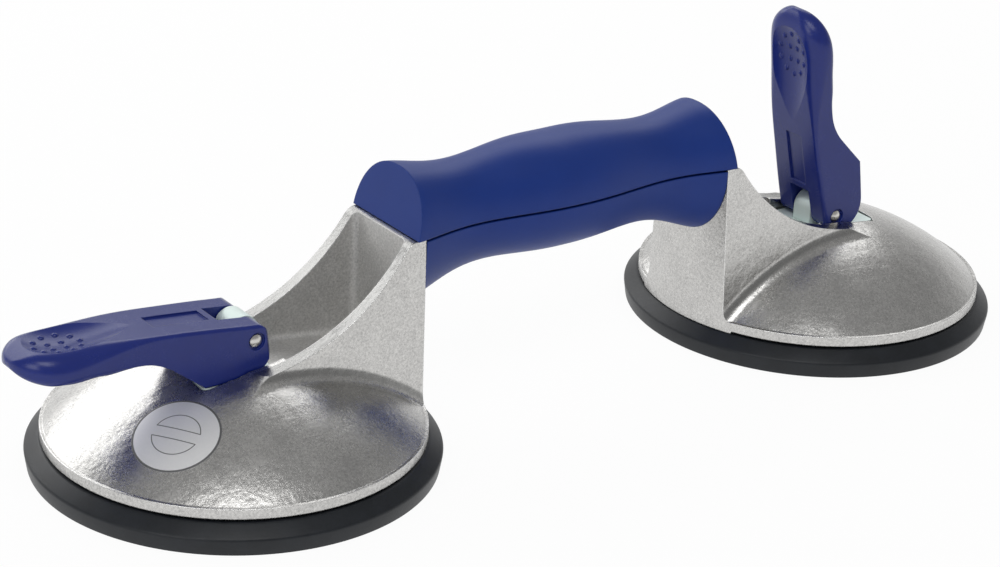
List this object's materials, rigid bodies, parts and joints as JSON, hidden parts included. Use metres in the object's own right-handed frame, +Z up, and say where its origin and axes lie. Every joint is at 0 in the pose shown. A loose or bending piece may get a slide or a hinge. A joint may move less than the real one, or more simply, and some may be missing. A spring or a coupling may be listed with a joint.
{
  "type": "floor tile suction lifter",
  "caption": "Twin-cup suction lifter: die-cast cups on round rubber pads, a gripped bridge handle and a cam lever on each cup; one lever locked, one released.",
  "frame": {"origin": "on the plane that the pads rest on, midway between the axes of the two cups, under the middle of the handle", "axes": "+X along the handle to the rear cup (the one with the released lever), +Y across the handle, +Z up, away from the tile"},
  "size_m": [0.3546, 0.1216, 0.1052],
  "materials": {
    "cast_aluminium": "tumbled and lightly polished die casting",
    "grip_plastic": "satin soft-touch",
    "lever_plastic": "semi-gloss moulded",
    "pad_rubber": "smooth matt",
    "zinc_steel": "zinc plated, pale passivation",
    "bright_steel": "bright",
    "bush_acetal": "natural acetal"
  },
  "bodies": {
    "frame": {"front_cup_casting": "cast_aluminium", "rear_cup_casting": "cast_aluminium", "handle_bridge": "cast_aluminium", "grip_upper_shell": "grip_plastic", "grip_lower_shell": "grip_plastic", "grip_screws": "bright_steel", "front_suction_pad": "pad_rubber", "rear_suction_pad": "pad_rubber", "front_guide_bush": "bush_acetal", "rear_guide_bush": "bush_acetal", "front_release_spring": "bright_steel", "rear_release_spring": "bright_steel", "front_wear_plate": "zinc_steel", "rear_wear_plate": "zinc_steel"},
    "front_plunger": {"front_draw_bar": "zinc_steel", "front_pivot_pin": "bright_steel", "front_pad_insert": "zinc_steel", "front_lock_nut": "zinc_steel"},
    "front_cam_lever": {"front_lever": "lever_plastic"},
    "rear_plunger": {"rear_draw_bar": "zinc_steel", "rear_pivot_pin": "bright_steel", "rear_pad_insert": "zinc_steel", "rear_lock_nut": "zinc_steel"},
    "rear_cam_lever": {"rear_lever": "lever_plastic"}
  },
  "joints": [
    {"name": "front_pad_release", "type": "slide", "parent": "frame", "child": "front_plunger", "axis": [0, 0, -1], "range_m": [0, 0.0066], "deforming": ["front_suction_pad", "front_release_spring"]},
    {"name": "front_lever_turn", "type": "hinge", "parent": "front_plunger", "child": "front_cam_lever", "pos_m": [-0.1108, 0, 0.041], "axis": [0, 1, 0], "range_deg": [0, 98]},
    {"name": "rear_pad_lift", "type": "slide", "parent": "frame", "child": "rear_plunger", "axis": [0, 0, 1], "range_m": [0, 0.0066], "deforming": ["rear_suction_pad", "rear_release_spring"]},
    {"name": "rear_lever_turn", "type": "hinge", "parent": "rear_plunger", "child": "rear_cam_lever", "pos_m": [0.1108, 0, 0.0344], "axis": [0, 1, 0], "range_deg": [0, 98]}
  ],
  "couplings": [
    {"joint": "front_pad_release", "follows": "front_lever_turn", "m_per_rad": 0.0038587},
    {"joint": "rear_pad_lift", "follows": "rear_lever_turn", "m_per_rad": 0.0038587}
  ]
}
